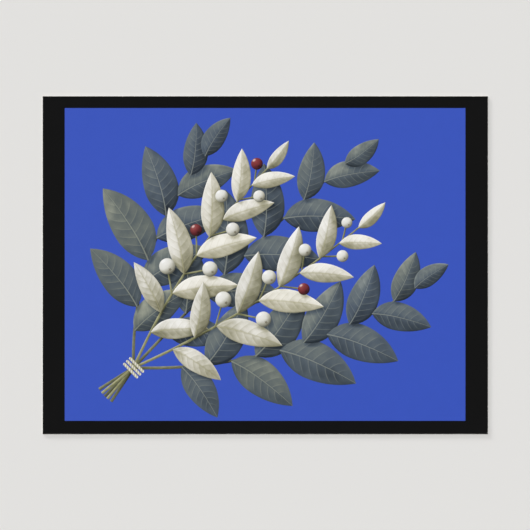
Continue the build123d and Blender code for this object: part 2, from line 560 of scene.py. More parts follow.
rule_ink, tree, shader = new_material("rule_ink")
starved = noise(tree, millimetres(tree), scale=5.0, detail=3.0, roughness=0.7)
colour = mix_colours(tree, remap(tree, starved, low=0.52, high=0.72), INK_GREY, STARVED_INK)
finish(tree, shader, colour, roughness=0.82, uneven=0.03, fibre=0.75, relief=0.012)
shader.inputs["Specular IOR Level"].default_value = 0.25
for node_name in ("divider_ink", "address_rule_ink", "stamp_box_ink"):
    dress(node_name, rule_ink)

# %% [markdown]
# The border is solid black toner, a satin film. Where the blade cut through it,
# tiny chips of the film are missing and white coating shows. They could be cut
# out of a mesh, but they are a tenth of a millimetre deep at most. The card edge
# group tells where they are: a spot is chipped if its distance to the edge is
# under a ragged depth.

# %% Black toner of the border
TONER_ROUGHNESS = 0.42
TONER_FIBRE = 0.15
TONER_RELIEF = 0.004
TONER_BLACK = (0.0030, 0.0030, 0.0031, 1.0)
CHIP_REACH = 0.10


def finish_toner(tree, shader, colour, uneven):
    """Lays a satin film of toner, which follows the paper under it only a little."""
    finish(tree, shader, colour, TONER_ROUGHNESS, uneven, TONER_FIBRE, TONER_RELIEF)


black_toner, tree, shader = new_material("black_toner")
edge = place_group(tree, card_edge)
chip_depth = remap(tree, edge["Ragged"], low=0.50, high=0.75, to_low=0.0, to_high=CHIP_REACH)
chipped = reckon(tree, "LESS_THAN", edge["Gap"], chip_depth)
finish_toner(tree, shader, mix_colours(tree, chipped, TONER_BLACK, COATING_WHITE), uneven=0.05)
dress("border_toner", black_toner)

# %% [markdown]
# Now the print. It shows a spray of leaves tied with twine: three stems of
# slate leaves at the back, two of cream leaves in front, and berries on stalks.
# A painted image would be quicker, but it would blur from close by and leave
# the CAD part's films behind. So the spray is laid out again here by the part's
# own rules, in millimetres from the picture's middle, with the same values.

# %% Sizes of the spray
TIE = np.array([-42.0, -33.0])
BUNCH_HEADING = 44.0
TAIL_LENGTH = 13.0
TAIL_SPREAD = 0.26
STEM_TAPER = 0.55
LEAF_WIDEST_AT = 0.40
LEAF_LEAN = 0.22
FIRST_LEAF_AT = 0.16
LEAF_SEAT = 1.2
FULL_SIZE_AT = 0.30
FIRST_LEAF_SIZE = 0.78
LAST_LEAF_SIZE = 0.52
SHRINK_POWER = 2.4
FIRST_SPLAY = 54.0
LAST_SPLAY = 30.0
SPLAY_PLAY = 6.0
SPLAY_RHYTHM = 2.4
LENGTH_PLAY = 0.06
LENGTH_RHYTHM = 3.7

SLATE_LEAF = dict(leaf_length=27.0, leaf_width=12.6, stem_width=1.0)
PALE_LEAF = dict(leaf_length=22.5, leaf_width=8.0, stem_width=0.9)
SLATE_SPRIGS = [
    dict(heading=47, turn=-6, length=95.0, leaves=10, **SLATE_LEAF),
    dict(heading=92, turn=-42, length=74.0, leaves=9, **SLATE_LEAF),
    dict(heading=-2, turn=36, length=96.0, leaves=11, **SLATE_LEAF),
]
PALE_SPRIGS = [
    dict(heading=66, turn=-20, length=78.0, leaves=10, **PALE_LEAF),
    dict(heading=24, turn=16, length=86.0, leaves=10, **PALE_LEAF),
]
print(len(SLATE_SPRIGS), "slate sprigs and", len(PALE_SPRIGS), "pale ones")

# %% [markdown]
# A shape of the print keeps what it needs to find its own coordinates: where it
# starts, where it points, how long and wide it is. Curve objects could hold the
# same, but nothing is drawn yet, and plain numbers are easier to reckon with.
# Two small functions walk straight ahead and along a sprig's arc, and place
# everything else.

# %% Shapes and ways
@dataclass
class Shape:
    """One flat shape of the print, in millimetres from the picture's middle."""

    film: str
    kind: str
    base: np.ndarray
    heading: float
    length: float
    width: float
    end_width: float = 0.0
    turn: float = 0.0
    lean: float = 0.0


def step(point, heading, distance):
    """Gives the point reached by going straight in a heading."""
    angle = math.radians(heading)
    return point + distance * np.array([math.cos(angle), math.sin(angle)])


def along(sprig, distance):
    """Gives the point and heading on a sprig's arc at a distance from the tie."""
    turned_by = sprig["turn"] * distance / sprig["length"]
    half_turn = math.radians(turned_by) / 2
    chord = distance * math.sin(half_turn) / half_turn if half_turn else distance
    return step(TIE, sprig["heading"] + turned_by / 2, chord), sprig["heading"] + turned_by


print("the first sprig ends at", along(SLATE_SPRIGS[0], SLATE_SPRIGS[0]["length"])[0].round(1))

# %% [markdown]
# Leaves could be strewn by chance, but a twig has a rule: its leaves stand right
# and left in turn, larger in the middle, with one at the end. The shapes are
# listed from the lowest to the topmost, as if the spray were laid down leaf by
# leaf. That order decides later which shape shows where several overlap.

# %% Stems and leaves
def stem_shapes(film, sprig):
    """Lists a sprig's stem and its tail below the tie."""
    width = sprig["stem_width"]
    tail_heading = BUNCH_HEADING + TAIL_SPREAD * (sprig["heading"] - BUNCH_HEADING)
    tail_end = step(TIE, tail_heading, -TAIL_LENGTH)
    tail = Shape(film, "bar", tail_end, tail_heading, TAIL_LENGTH, width, width)
    stem = Shape(film, "stem", TIE, sprig["heading"], sprig["length"], width, width * STEM_TAPER)
    stem.turn = sprig["turn"]
    return [tail, stem]


def leaf_shapes(film, sprig, number):
    """Lists a sprig's leaves, set right and left in turn, with one at its end."""
    shapes = []
    last = sprig["leaves"] - 1
    first_at = FIRST_LEAF_AT * sprig["length"]
    for i in range(sprig["leaves"]):
        number += 1
        share = i / last
        side = 1 if i % 2 else -1
        base, heading = along(sprig, first_at + (sprig["length"] - LEAF_SEAT - first_at) * share)
        if i < last:
            heading += side * (FIRST_SPLAY + (LAST_SPLAY - FIRST_SPLAY) * share)
        heading += SPLAY_PLAY * math.sin(SPLAY_RHYTHM * number)
        size = FIRST_LEAF_SIZE + (1 - FIRST_LEAF_SIZE) * min(1, share / FULL_SIZE_AT)
        size *= 1 - (1 - LAST_LEAF_SIZE) * share**SHRINK_POWER
        size *= 1 + LENGTH_PLAY * math.sin(LENGTH_RHYTHM * number)
        length = sprig["leaf_length"] * size
        width = sprig["leaf_width"] * size
        shapes.append(Shape(film, "leaf", base, heading, length, width, lean=-LEAF_LEAN * side))
    return shapes


slate_stems = []
slate_leaves = []
for sprig in SLATE_SPRIGS:
    slate_stems += stem_shapes("slate_stem", sprig)
    slate_leaves += leaf_shapes("slate_leaf", sprig, len(slate_leaves))
pale_stems = []
pale_leaves = []
for sprig in PALE_SPRIGS:
    pale_stems += stem_shapes("pale_stem", sprig)
    pale_leaves += leaf_shapes("pale_leaf", sprig, len(slate_leaves) + len(pale_leaves))
print(len(slate_leaves), "slate leaves,", len(pale_leaves), "pale leaves")

# %% [markdown]
# Berries stand on thin stalks between the cream leaves, smaller towards the tip,
# and every fourth one is red. A berry is drawn as a circle, and how round it
# looks is left to its toner, because the film itself is flat.

# %% Berries on stalks
BERRIES_PER_SPRIG = 7
FIRST_BERRY_AT = 0.34
BERRY_SPACING = 0.095
STALK_SPLAY = 40.0
STALK_RHYTHM = 1.9
STALK_WIDTH = 0.55
LONGEST_STALK = 9.0
STALK_STEP = 0.5
LARGEST_BERRY_RADIUS = 2.6
BERRY_STEP = 0.14
RED_BERRY_RADIUS = 1.9
RED_BERRY_EVERY = 4
RED_BERRY_PLACE = 3

stalks = []
berries = []
for sprig in PALE_SPRIGS:
    for i in range(BERRIES_PER_SPRIG):
        side = -1 if i % 2 else 1
        foot, heading = along(sprig, sprig["length"] * (FIRST_BERRY_AT + BERRY_SPACING * i))
        heading += side * (STALK_SPLAY + SPLAY_PLAY * math.sin(STALK_RHYTHM * len(berries)))
        length = LONGEST_STALK - STALK_STEP * i
        stalks.append(Shape("pale_stem", "bar", foot, heading, length, STALK_WIDTH, STALK_WIDTH))
        red = (len(berries) + 1) % RED_BERRY_EVERY == RED_BERRY_PLACE
        radius = RED_BERRY_RADIUS if red else LARGEST_BERRY_RADIUS - BERRY_STEP * i
        film = "red_berry" if red else "white_berry"
        berries.append(Shape(film, "ball", step(foot, heading, length), 0, 2 * radius, 2 * radius))
print(len(berries), "berries on stalks")

# %% [markdown]
# Three turns of twine hold the bunch. A spiral round the stems could be drawn,
# but from the front a turn is only a short bar with round ends, square to the
# bunch, so bars side by side are enough.

# %% Twine around the tie
TWINE_TURNS = 3
TWINE_PITCH = 1.30
TWINE_WIDTH = 0.95
TWINE_LENGTH = 6.6

twine = []
for i in range(TWINE_TURNS):
    middle = step(TIE, BUNCH_HEADING, (i - (TWINE_TURNS - 1) / 2) * TWINE_PITCH)
    heading = BUNCH_HEADING + 90
    base = step(middle, heading, -TWINE_LENGTH / 2)
    twine.append(Shape("twine", "cord", base, heading, TWINE_LENGTH, TWINE_WIDTH, TWINE_WIDTH))

spray = slate_stems + slate_leaves + pale_stems + stalks + pale_leaves + berries + twine
print(len(spray), "shapes in the spray")

# %% [markdown]
# In the picture's x and y every leaf would need sums of its own. In a shape's
# own coordinates, how far along it a point lies and how far to its left, one
# set of sums does for all. A leaf's edge is then two arcs on each side, which
# meet where the leaf is widest, and a stem is a strip along an arc. The same
# sums give an outline, the pattern's coordinates, and how deep inside a shape a
# point lies, which the shadows need.

# %% Coordinates of a shape
def own_place(shape, points):
    """Gives how far along a shape points lie, and how far to its left, in millimetres."""
    angle = math.radians(shape.heading)
    ahead = np.array([math.cos(angle), math.sin(angle)])
    left = np.array([-ahead[1], ahead[0]])
    away = points - shape.base
    if shape.kind != "stem":
        return away @ ahead, away @ left
    radius = shape.length / math.radians(shape.turn)
    spoke = points - (shape.base + radius * left)
    bearing = np.arctan2(spoke @ ahead, -(spoke @ left) * np.sign(radius)) * np.sign(radius)
    return bearing * radius, radius - np.hypot(spoke[:, 0], spoke[:, 1]) * np.sign(radius)


def half_width(shape, distance, side):
    """Gives a shape's half width at a distance along it, on its left (1) or right (-1)."""
    if shape.kind == "leaf":
        widest = LEAF_WIDEST_AT * shape.length
        reach = np.where(distance < widest, widest, shape.length - widest)
        bulge = shape.width / 2 * (1 + side * shape.lean)
        radius = (reach**2 + bulge**2) / (2 * bulge)
        return bulge - radius + np.sqrt(np.maximum(radius**2 - (distance - widest) ** 2, 0))
    share = np.clip(distance / shape.length, 0, 1)
    return (shape.width + (shape.end_width - shape.width) * share) / 2


def depth_inside(shape, points):
    """Gives about how deep inside a shape points lie, in millimetres. Outside it is negative."""
    if shape.kind == "ball":
        away = points - shape.base
        return shape.width / 2 - np.hypot(away[:, 0], away[:, 1])
    distance, left = own_place(shape, points)
    in_range = np.clip(distance, 0, shape.length)
    past_end = np.abs(distance - in_range)
    across = half_width(shape, in_range, np.sign(left)) - np.abs(left)
    return np.where(past_end > 0, np.minimum(across, 0) - past_end, across)


leaf = slate_leaves[0]
leaf_middle = step(leaf.base, leaf.heading, leaf.length / 2)
print("a leaf is", depth_inside(leaf, leaf_middle[None])[0].round(2), "mm deep at its middle")

# %% [markdown]
# An outline is a ring of points. Blender's curves could draw it, but the cut
# that follows takes points, so they are worked out from the same half widths:
# up the right side of a shape and down its left.

# %% Outlines of the shapes
LEAF_STEPS = 18
STEM_STEPS = 26
BALL_STEPS = 32
END_STEPS = 8


def round_end(centre, heading, radius):
    """Gives the points of a half circle that bulges in a heading."""
    turns = heading - 90 + np.arange(END_STEPS + 1) * 180 / END_STEPS
    return [step(centre, turn, radius) for turn in turns]


def outline(shape):
    """Gives the points round a shape, anticlockwise."""
    radius = shape.width / 2
    if shape.kind == "ball":
        turns = np.arange(BALL_STEPS) * 360 / BALL_STEPS
        return np.array([step(shape.base, turn, radius) for turn in turns])
    if shape.kind == "cord":
        far = step(shape.base, shape.heading, shape.length - radius)
        near = step(shape.base, shape.heading, radius)
        far_end = round_end(far, shape.heading, radius)
        return np.array(far_end + round_end(near, shape.heading + 180, radius))
    count = {"leaf": LEAF_STEPS, "stem": STEM_STEPS, "bar": 1}[shape.kind]
    distances = shape.length * np.arange(count + 1) / count
    if shape.kind == "stem":
        sprig = dict(heading=shape.heading, turn=shape.turn, length=shape.length)
        middle = [along(sprig, distance) for distance in distances]
    else:
        middle = [(step(shape.base, shape.heading, d), shape.heading) for d in distances]
    sides = []
    for side in (-1, 1):
        widths = half_width(shape, distances, side)
        sides.append([step(p, h + 90 * side, w) for (p, h), w in zip(middle, widths)])
    right, left = sides
    if shape.kind == "leaf":
        left = left[1:-1]
    return np.array(right + left[::-1])


outlines = [outline(shape) for shape in spray]
print(sum(len(points) for points in outlines), "points in all outlines")

# %% [markdown]
# The leaves will carry soft shadows, and a shadow is a number on each point of
# the mesh, so the triangles must be fine. Subdividing them later would also
# split the thin ones at the edges. So extra points are sprinkled inside the
# leaves beforehand, in rows set half a step apart, and kept clear of outlines.

# %% Points inside the leaves
GRID = 0.9
CLEAR_OF_EDGES = 0.25

row_pitch = GRID * math.sin(math.radians(60))
picture_corners = np.array(
    [
        [picture_low.x, picture_low.y],
        [picture_high.x, picture_low.y],
        [picture_high.x, picture_high.y],
        [picture_low.x, picture_high.y],
    ]
)
picture_corners = (picture_corners - np.array(picture_middle.xy)) / MM
rows = np.arange(picture_corners[0, 1], picture_corners[2, 1], row_pitch)
columns = np.arange(picture_corners[0, 0], picture_corners[2, 0], GRID)
grid = np.array([(x + GRID / 2 * (i % 2), y) for i, y in enumerate(rows) for x in columns])
depths = np.array([depth_inside(leaf, grid) for leaf in slate_leaves + pale_leaves])
in_a_leaf = (depths > CLEAR_OF_EDGES).any(axis=0)
near_an_edge = (np.abs(depths) < CLEAR_OF_EDGES).any(axis=0)
grid = grid[in_a_leaf & ~near_an_edge]
print(len(grid), "points inside the leaves")

# %% [markdown]
# The films of toner don't lie on top of each other: each colour is knocked out
# of the next, like a mosaic. A knife or boolean for every overlap would be slow
# and fragile. Blender's constrained Delaunay triangulation does it in one call:
# it takes all the outlines, cuts them where they cross, and says for each small
# triangle which outlines hold it. The topmost of these wins.

# %% Cut the mosaic
GROUND = -1
ALL_TRIANGLES = 0
TOLERANCE = 1e-4

rings = [picture_corners, *outlines]
loops = []
first = 0
for ring in rings:
    loops.append(list(range(first, first + len(ring))))
    first += len(ring)
points = [Vector(point) for point in np.vstack([*rings, grid])]
cut = delaunay_2d_cdt(points, [], loops, ALL_TRIANGLES, TOLERANCE, True)
cut_points, _, mosaic_faces, _, _, holders = cut
mosaic_points = np.array([tuple(point) for point in cut_points])
# The first ring is the picture's own edge, so a shape comes one place after its number
mosaic_shapes = np.array([max(rings_here) - 1 for rings_here in holders])
print(len(mosaic_faces), "triangles,", int((mosaic_shapes == GROUND).sum()), "of them in the ground")

# %% [markdown]
# Where a leaf lies over another, it shades it. The picture's light comes from
# the upper left, so a point is in the shade if the point a little up and to the
# left of it lies inside a shape that is higher in the pile. The depth inside
# that shape, smoothed, makes the shadow's soft edge. A second, wider and
# fainter one darkens the cracks between leaves. Rays could be traced for it,
# but the leaves are flat, so depth alone gives the same look. The ground stays
# flat, like the plain blue of the photograph.

# %% Soft shadows between the leaves
LIGHT = np.array([-0.50, 0.62, 0.60])
SHADOW_SHIFT = {"leaf": 1.1, "ball": 1.3, "stem": 0.6, "bar": 0.5, "cord": 0.5}
SHADOW_SOFT = 0.9
CRACK_SOFT = 2.2
CRACK_DEPTH = 0.45


def smooth(values, low, high):
    """Goes smoothly from 0 at low to 1 at high."""
    share = np.clip((values - low) / (high - low), 0, 1)
    return share * share * (3 - 2 * share)


def shade_on(order, points):
    """Gives the shade, from 0 to 1, that the shapes above a place in the pile cast on points."""
    shade = np.zeros(len(points))
    towards_light = LIGHT[:2] / np.hypot(*LIGHT[:2])
    for shape in spray[order + 1 :]:
        shifted = points + towards_light * SHADOW_SHIFT[shape.kind]
        cast = smooth(depth_inside(shape, shifted), -SHADOW_SOFT, SHADOW_SOFT)
        crack = CRACK_DEPTH * smooth(depth_inside(shape, points), -CRACK_SOFT, CRACK_SOFT / 2)
        shade = np.maximum(shade, np.maximum(cast, crack))
    return shade


shapes_seen = np.unique(mosaic_shapes[mosaic_shapes != GROUND])
shade_of = {}
for order in shapes_seen:
    faces = [mosaic_faces[i] for i in np.flatnonzero(mosaic_shapes == order)]
    used = np.unique(np.concatenate(faces))
    shade_of[order] = dict(zip(used, shade_on(order, mosaic_points[used])))
print("shaded", len(shapes_seen), "shapes")

# %% [markdown]
# Each colour's triangles become one film. Vertex groups or colours could carry
# what its material needs, but named layers on a bmesh say what they are: a UV
# map with each point's place on its own leaf, stem or berry, the shade there,
# and a few numbers per face. Fold says how much its left half faces the light,
# arch how much its tip does, lean which side of it is wider, and tint is by
# chance, so that no two leaves match.

# %% Flat mesh of a film
chance = np.random.default_rng(7)
tints = chance.random(len(spray))


def pattern_place(shape, points):
    """Gives points' places on their own shape: in leaf lengths, in stem widths or in berry radii."""
    if shape.kind == "ball":
        return (points - shape.base) / (shape.width / 2)
    distance, left = own_place(shape, points)
    if shape.kind == "leaf":
        return np.column_stack([distance, left]) / shape.length
    return np.column_stack([distance, left / half_width(shape, distance, 1)])


def facing(heading):
    """Gives how much a slope in a heading faces the picture's light."""
    return float(step(np.zeros(2), heading, 1) @ LIGHT[:2])


def film_mesh(name, orders):
    """Makes a flat mesh of the mosaic's triangles that show these places in the pile."""
    bm = bmesh.new()
    uv = bm.loops.layers.uv.new("pattern")
    shade = bm.loops.layers.float.new("shade")
    numbers = {key: bm.faces.layers.float.new(key) for key in ("fold", "arch", "lean", "tint")}
    verts = {}
    for i in np.flatnonzero(np.isin(mosaic_shapes, orders)):
        corners = mosaic_faces[i]
        order = mosaic_shapes[i]
        for corner in corners:
            if corner not in verts:
                x, y = mosaic_points[corner] * MM
                at = (picture_middle.x + x, picture_middle.y + y, picture_high.z)
                verts[corner] = bm.verts.new(at)
        face = bm.faces.new([verts[corner] for corner in corners])
        if order == GROUND:
            continue
        shape = spray[order]
        places = pattern_place(shape, mosaic_points[corners])
        for loop, place, corner in zip(face.loops, places, corners):
            loop[uv].uv = place
            loop[shade] = shade_of[order][corner]
        face[numbers["fold"]] = facing(shape.heading + 90)
        face[numbers["arch"]] = facing(shape.heading)
        face[numbers["lean"]] = shape.lean
        face[numbers["tint"]] = tints[order]
    mesh = bpy.data.meshes.new(name)
    bm.to_mesh(mesh)
    bm.free()
    return mesh


print("tints run from", tints.min().round(2), "to", tints.max().round(2))

# %% [markdown]
# A film of toner on the real card is a hundredth of a millimetre thick. The
# triangles could be extruded in the bmesh, but a Solidify modifier does it
# without new data layers to fill, downwards from the top, so that the film
# takes exactly the place of the CAD node that it replaces.

# %% Films of toner
FILM_SLOTS = {
    "ground": "blue_toner",
    "slate_leaf": "slate_toner",
    "slate_stem": "stem_toner",
    "pale_leaf": "cream_toner",
    "pale_stem": "stem_toner",
    "white_berry": "white_toner",
    "red_berry": "red_toner",
    "twine": "cream_toner",
}


def orders_of(kind):
    """Lists the places in the pile of a film's shapes. The ground has its own mark."""
    if kind == "ground":
        return [GROUND]
    return [order for order, shape in enumerate(spray) if shape.film == kind]


def make_film(kind):
    """Makes one film of toner in place of its CAD node."""
    name = kind + "_film"
    film = bpy.data.objects.new(name, film_mesh(name, orders_of(kind)))
    bpy.context.scene.collection.objects.link(film)
    thickness = film.modifiers.new("film", "SOLIDIFY")
    thickness.thickness = toner_thickness
    thickness.offset = -1
    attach(film, "root")
    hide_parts(kind + "_toner")
    print(name, len(film.data.polygons), "triangles")
    return film


films = {kind: make_film(kind) for kind, slot in FILM_SLOTS.items()}

# %% [markdown]
# The blue ground is one even tint. A plain colour would look like paint on
# screen, so its life comes from the toner's grain and gloss, and the shared
# surface is all it needs.

# %% Blue toner of the ground
GROUND_BLUE = (0.0369, 0.0878, 0.5178, 1.0)


def paint(kind, material):
    """Gives a film its finished material."""
    films[kind].data.materials.append(material)
    print("painted", kind + "_film")


blue_toner, tree, shader = new_material("blue_toner")
finish_toner(tree, shader, GROUND_BLUE, uneven=0.012)
paint("ground", blue_toner)

# %% [markdown]
# Both kinds of leaf share one node group. A printed leaf has to look folded,
# arched and veined on a flat film. Bending the mesh would lift it off the card,
# so the light is worked out as a number instead, in the leaf's own coordinates:
# u along it, and v across it from the midrib to the edge. A leaf that is wider
# on one side has a midrib that bows that way.

# %% Leaf blade, a shared node group: coordinates
MIDRIB_BOW = 0.75
LEAST_SWELL = 0.04


def read_number(tree, name):
    """Reads one of a film's own numbers."""
    return add_node(tree, "ShaderNodeAttribute", attribute_name=name).outputs["Fac"]


def read_pattern(tree):
    """Reads a film's pattern coordinates."""
    node = add_node(tree, "ShaderNodeUVMap", uv_map="pattern")
    x, y, _ = split_vector(tree, node.outputs["UV"])
    return x, y


leaf_blade, start, end = new_group(
    "leaf_blade",
    inputs={"Half Width": "Float", "Vein Pairs": "Float"},
    outputs={"Light": "Float", "Vein": "Float", "Tint": "Float"},
)
tree = leaf_blade
u, w = read_pattern(tree)
lean = read_number(tree, "lean")

# How wide the leaf is at this distance, as a share of its widest place
near_base = reckon(tree, "LESS_THAN", u, LEAF_WIDEST_AT)
reach = reckon(tree, "MULTIPLY_ADD", near_base, 2 * LEAF_WIDEST_AT - 1, 1 - LEAF_WIDEST_AT)
from_widest = reckon(tree, "DIVIDE", reckon(tree, "SUBTRACT", u, LEAF_WIDEST_AT), reach)
swell = reckon(tree, "SUBTRACT", 1.0, product(tree, from_widest, from_widest))
swell = reckon(tree, "MAXIMUM", swell, LEAST_SWELL)

# How far a spot lies from the bowed midrib, in leaf lengths and as a share of the way to the edge
bow = product(tree, start.outputs["Half Width"], lean, swell, MIDRIB_BOW)
off_rib = reckon(tree, "SUBTRACT", w, bow)
side = reckon(tree, "SIGN", off_rib)
leaning = reckon(tree, "MULTIPLY_ADD", product(tree, side, 1 - MIDRIB_BOW), lean, 1.0)
v = reckon(tree, "DIVIDE", off_rib, product(tree, start.outputs["Half Width"], leaning, swell))
to_edge = reckon(tree, "MINIMUM", reckon(tree, "ABSOLUTE", v), 1.0)
print("leaf_blade has", len(leaf_blade.nodes), "nodes for its coordinates")

# %% [markdown]
# Side veins leave the midrib at an even pitch and sweep towards the tip. Drawn
# one by one, each would take nodes of its own. The fraction of a running number
# repeats from vein to vein, so one formula draws them all.

# %% Leaf blade: veins
VEIN_CURVE = 1.35
VEIN_SWEEP = 0.15
VEIN_STAGGER = 0.25
SIDE_VEIN_STRENGTH = 0.45
MIDRIB_AT_BASE = 0.0115
MIDRIB_TAPER = 0.0085

sweep = product(tree, reckon(tree, "POWER", to_edge, VEIN_CURVE), VEIN_SWEEP)
swept = reckon(tree, "SUBTRACT", u, sweep)
stagger = product(tree, side, VEIN_STAGGER)
vein_number = reckon(tree, "MULTIPLY_ADD", swept, start.outputs["Vein Pairs"], stagger)
off_middle = reckon(tree, "SUBTRACT", reckon(tree, "FRACT", vein_number), 0.5)
side_vein = remap(tree, reckon(tree, "ABSOLUTE", off_middle), low=0.40, high=0.495)
inside = remap(tree, to_edge, low=0.55, high=0.98, to_low=1.0, to_high=0.0)
fading = product(tree, inside, remap(tree, u, low=0.90, high=0.70))

rib_width = reckon(tree, "MULTIPLY_ADD", u, -MIDRIB_TAPER, MIDRIB_AT_BASE)
rib_widths_off = reckon(tree, "DIVIDE", reckon(tree, "ABSOLUTE", off_rib), rib_width)
midrib = remap(tree, rib_widths_off, low=1.0, high=0.45)
groove = remap(tree, rib_widths_off, low=3.2, high=0.9)
vein = reckon(tree, "MAXIMUM", product(tree, side_vein, fading, SIDE_VEIN_STRENGTH), midrib)
feed(tree, end.inputs["Vein"], vein)
print("leaf_blade has", len(leaf_blade.nodes), "nodes with its veins")

# %% [markdown]
# The light on a blade could be painted, but then all leaves would be alike. It
# is a sum of simple causes instead. One half of the fold faces the light and the
# other turns away, the leaf arches towards its tip, its rim curls, it waves and
# puckers between its veins, and the leaves above it shade it. Each cause has a
# strength, and the materials turn the sum into colours.

# %% Leaf blade: light
MEAN_LIGHT = 0.54
FOLD_LIGHT = 0.24
FOLD_REACH = 0.45
ROUND_LIGHT = 0.10
RIM_LIGHT = 0.14
RIM_SHADE = 0.04
ARCH_LIGHT = 0.42
ARCH_MIDDLE = 0.45
PUCKER_LIGHT = 0.16
BASE_SHADE = 0.15
BASE_REACH = 0.45
GROOVE_SHADE = 0.07
CAST_SHADE = 0.40
LEAF_PLAY = 0.10
WAVE_PLAY = 0.30
WAVES_ALONG = 2.6
WAVES_ACROSS = 0.55
WAVE_PATCHES = 40.0
BLOTCH_PLAY = 0.10
BLOTCHES = 9.0
BLOTCH_PATCHES = 71.0


def play(tree, value, reach):
    """Turns a number from 0 to 1 into one from -reach to reach."""
    return reckon(tree, "MULTIPLY_ADD", value, 2 * reach, -reach)


fold = read_number(tree, "fold")
arch = read_number(tree, "arch")
tint = read_number(tree, "tint")
rim_light = reckon(tree, "MULTIPLY_ADD", fold, product(tree, side, RIM_LIGHT), -RIM_SHADE)
wave_place = join_vector(
    tree,
    product(tree, u, WAVES_ALONG),
    product(tree, v, WAVES_ACROSS),
    product(tree, tint, WAVE_PATCHES),
)
blotch_place = join_vector(
    tree,
    product(tree, u, BLOTCHES),
    product(tree, off_rib, BLOTCHES),
    product(tree, tint, BLOTCH_PATCHES),
)
light = total(
    tree,
    MEAN_LIGHT,
    product(tree, fold, remap(tree, v, -FOLD_REACH, FOLD_REACH, -FOLD_LIGHT, FOLD_LIGHT)),
    product(tree, fold, v, ROUND_LIGHT),
    product(tree, rim_light, remap(tree, to_edge, low=0.84, high=1.0)),
    product(tree, arch, reckon(tree, "SUBTRACT", u, ARCH_MIDDLE), ARCH_LIGHT),
    product(tree, arch, off_middle, fading, -PUCKER_LIGHT),
    play(tree, noise(tree, wave_place, scale=1.0), WAVE_PLAY),
    play(tree, noise(tree, blotch_place, scale=1.6, detail=4.0), BLOTCH_PLAY),
    play(tree, tint, LEAF_PLAY),
    remap(tree, u, 0.0, BASE_REACH, -BASE_SHADE, 0.0),
    product(tree, groove, -GROOVE_SHADE),
    product(tree, read_number(tree, "shade"), -CAST_SHADE),
)
feed(tree, end.inputs["Light"], light)
feed(tree, end.inputs["Tint"], tint)
print("leaf_blade has", len(leaf_blade.nodes), "nodes")

# %% [markdown]
# The slate leaves go from a deep grey-blue in the shade to a soft grey-green in
# the light, with paler veins. The cream ones go from olive to nearly white, and
# their veins are faint. Two materials written out would repeat each other, so
# one function makes both, and only the colours differ.

# %% Slate and cream leaves
def leaf_toner(name, leaf, vein_pairs, lights, vein_colour, vein_strength, cast_colour):
    """Makes the toner of one kind of leaf, some of whose leaves have a colour cast."""
    material, tree, shader = new_material(name)
    half_width_share = leaf["leaf_width"] / leaf["leaf_length"] / 2
    blade = place_group(tree, leaf_blade, half_width=half_width_share, vein_pairs=vein_pairs)
    colour = ramp(tree, blade["Light"], lights)
    vein_share = product(tree, blade["Vein"], vein_strength)
    colour = mix_colours(tree, vein_share, colour, vein_colour)
    colour = mix_colours(tree, blade["Tint"], colour, cast_colour, blend="MULTIPLY")
    finish_toner(tree, shader, colour, uneven=0.02)
    return material


SLATE_LIGHTS = [
    (0.00, srgb(34, 43, 53)),
    (0.28, srgb(61, 72, 84)),
    (0.50, srgb(81, 93, 106)),
    (0.72, srgb(107, 117, 121)),
    (1.00, srgb(160, 167, 163)),
]
CREAM_LIGHTS = [
    (0.00, srgb(92, 90, 68)),
    (0.22, srgb(138, 136, 112)),
    (0.42, srgb(182, 179, 160)),
    (0.62, srgb(225, 223, 215)),
    (0.80, srgb(246, 245, 242)),
    (1.00, srgb(254, 254, 253)),
]
slate_toner = leaf_toner(
    "slate_toner",
    SLATE_LEAF,
    vein_pairs=9.0,
    lights=SLATE_LIGHTS,
    vein_colour=srgb(172, 179, 172),
    vein_strength=0.42,
    cast_colour=srgb(255, 250, 232),
)
cream_toner = leaf_toner(
    "cream_toner",
    PALE_LEAF,
    vein_pairs=8.0,
    lights=CREAM_LIGHTS,
    vein_colour=srgb(178, 174, 132),
    vein_strength=0.38,
    cast_colour=srgb(255, 253, 245),
)
paint("slate_leaf", slate_toner)
paint("pale_leaf", cream_toner)

# %% [markdown]
# A stem is a thin rod, so its light runs across it, brighter on the side that
# faces the light. A plain gradient would look like a wire, so noise drawn out
# along the stem makes it woody.

# %% Stems
ROD_LIGHT = 0.42
BARK_STRETCH = 0.5
BARK_PATCHES = 50.0
BARK_PLAY = 0.30
STEM_CAST_SHADE = 0.42
STEM_MEAN_LIGHT = 0.55
WOODY_LIGHTS = [
    (0.00, srgb(40, 41, 30)),
    (0.50, srgb(108, 110, 82)),
    (1.00, srgb(168, 168, 136)),
]
GREEN_LIGHTS = [
    (0.00, srgb(58, 59, 36)),
    (0.50, srgb(138, 138, 98)),
    (1.00, srgb(200, 198, 158)),
]


def stem_toner(name, lights):
    """Makes the toner of stems and stalks."""
    material, tree, shader = new_material(name)
    distance, across = read_pattern(tree)
    patch = product(tree, read_number(tree, "tint"), BARK_PATCHES)
    bark_place = join_vector(tree, product(tree, distance, BARK_STRETCH), across, patch)
    light = total(
        tree,
        STEM_MEAN_LIGHT,
        product(tree, read_number(tree, "fold"), across, ROD_LIGHT),
        play(tree, noise(tree, bark_place, scale=1.4, detail=4.0), BARK_PLAY),
        product(tree, read_number(tree, "shade"), -STEM_CAST_SHADE),
    )
    finish_toner(tree, shader, ramp(tree, light, lights), uneven=0.02)
    return material


paint("slate_stem", stem_toner("woody_stem_toner", WOODY_LIGHTS))
paint("pale_stem", stem_toner("green_stem_toner", GREEN_LIGHTS))

# %% [markdown]
# A berry in the print is a flat disc that has to look round. A radial gradient
# would only darken its rim. On a ball, the height of a point follows from its
# distance to the middle, and that gives the direction its surface faces. Its
# product with the light's direction is how lit it is.

